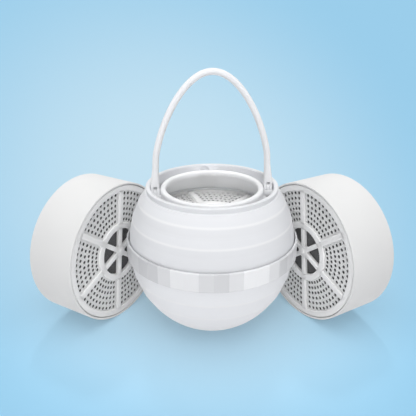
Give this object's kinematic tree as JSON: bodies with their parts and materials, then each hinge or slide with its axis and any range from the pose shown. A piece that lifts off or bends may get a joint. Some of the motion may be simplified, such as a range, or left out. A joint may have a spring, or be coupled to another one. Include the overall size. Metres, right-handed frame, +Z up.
{
  "type": "bath ball water filter",
  "caption": "Ball-shaped bath water filter on a hanging loop, open inlet ring on top, polished band, cartridge inside, with spare cartridges beside it.",
  "frame": {"origin": "middle of the ball's flat foot, on the table that the ball and the spare cartridges stand on", "axes": "+Z up along the ball's axis; +X along the pivots of the hanging loop, to the right in the picture; +Y away from the viewer"},
  "size_m": [0.2499, 0.1398, 0.1845],
  "materials": {
    "shell_white": "glossy moulded",
    "loop_white": "smooth flexible",
    "band_chrome": "polished plating",
    "cartridge_white": "satin moulded",
    "seal_silicone": "matt silicone",
    "felt_grey": "felt",
    "filter_granules": "loose granules",
    "pin_steel": "turned"
  },
  "bodies": {
    "base_set": {"lower_shell": "shell_white", "outlet_rose": "shell_white", "chrome_band": "band_chrome", "inner_can": "cartridge_white", "inner_front_grille": "cartridge_white", "inner_front_felt": "felt_grey", "inner_granules": "filter_granules", "inner_rear_felt": "felt_grey", "inner_rear_grille": "cartridge_white", "left_can": "cartridge_white", "left_front_grille": "cartridge_white", "left_front_felt": "felt_grey", "left_granules": "filter_granules", "left_rear_felt": "felt_grey", "left_rear_grille": "cartridge_white", "right_can": "cartridge_white", "right_front_grille": "cartridge_white", "right_front_felt": "felt_grey", "right_granules": "filter_granules", "right_rear_felt": "felt_grey", "right_rear_grille": "cartridge_white"},
    "seal_ring": {"closure_seal": "seal_silicone"},
    "lid": {"upper_shell": "shell_white", "inlet_funnel": "shell_white", "funnel_seal": "seal_silicone", "pivot_pin_left": "pin_steel", "pivot_pin_right": "pin_steel"},
    "loop": {"hanging_loop": "loop_white"}
  },
  "joints": [
    {"name": "lid_rise", "type": "slide", "parent": "base_set", "child": "seal_ring", "axis": [0, 0, 1], "range_m": [0, 0.00401]},
    {"name": "lid_turn", "type": "hinge", "parent": "seal_ring", "child": "lid", "pos_m": [0, 0, 0.0678], "axis": [0, 0, 1], "range_deg": [0, 90]},
    {"name": "loop_swing", "type": "hinge", "parent": "lid", "child": "loop", "pos_m": [0, 0, 0.1032], "axis": [1, 0, 0], "range_deg": [-60, 60]}
  ],
  "couplings": [
    {"joint": "lid_rise", "follows": "lid_turn", "m_per_rad": 0.0025465}
  ]
}
